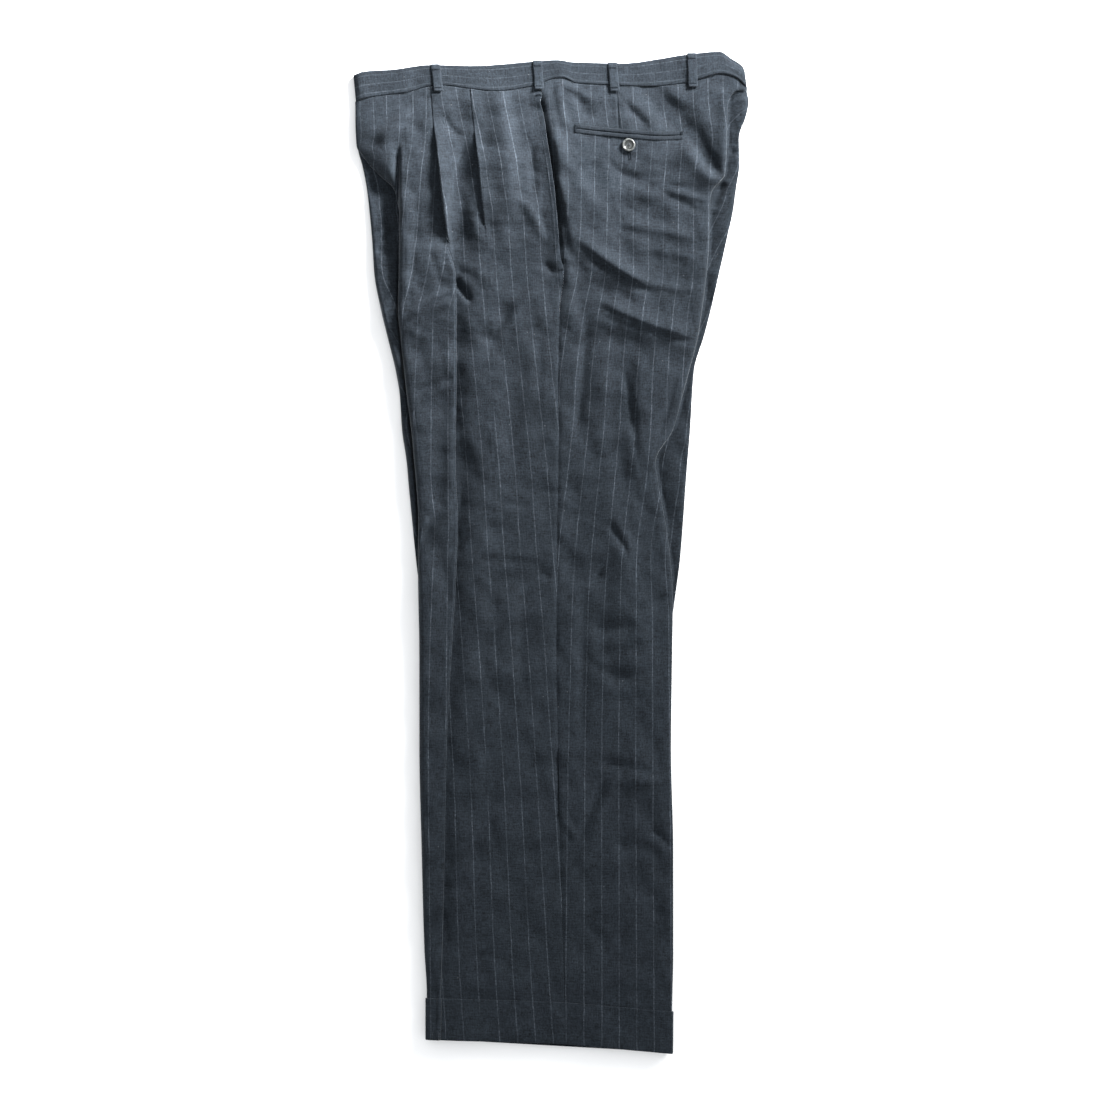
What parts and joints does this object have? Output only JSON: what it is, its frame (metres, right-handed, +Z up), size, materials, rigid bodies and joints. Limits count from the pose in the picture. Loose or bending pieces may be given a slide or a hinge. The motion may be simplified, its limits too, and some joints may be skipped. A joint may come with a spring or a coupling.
{
  "type": "dress trousers",
  "caption": "Pleated pinstripe wool dress trousers with turned-up hems, laid flat on their side, showing belt loops, a slanted side pocket and a buttoned back welt pocket.",
  "frame": {"origin": "middle of the plan outline, on the surface the trousers lie on", "axes": "+Y towards the waist, +X towards the garment's back, +Z up, away from the surface"},
  "size_m": [0.4266, 1.0818, 0.0188],
  "materials": {
    "pinstripe_wool_face": "matt worsted with pale pinstripes",
    "pinstripe_wool_under": "matt worsted with pale pinstripes",
    "waistband_wool": "matt worsted, stripes along the band",
    "belt_loop_wool": "matt worsted",
    "pocket_welt_wool": "matt worsted",
    "grey_button": "polished, marbled grey"
  },
  "bodies": {
    "root": {"left_front": "pinstripe_wool_face", "left_back": "pinstripe_wool_face", "left_turn_up": "pinstripe_wool_face", "right_front": "pinstripe_wool_under", "right_back": "pinstripe_wool_under", "right_turn_up": "pinstripe_wool_under", "left_waistband": "waistband_wool", "right_waistband": "waistband_wool", "belt_loop_1": "belt_loop_wool", "belt_loop_2": "belt_loop_wool", "belt_loop_3": "belt_loop_wool", "belt_loop_4": "belt_loop_wool", "back_pocket_upper_welt": "pocket_welt_wool", "back_pocket_lower_welt": "pocket_welt_wool", "back_pocket_button": "grey_button"}
  },
  "joints": []
}
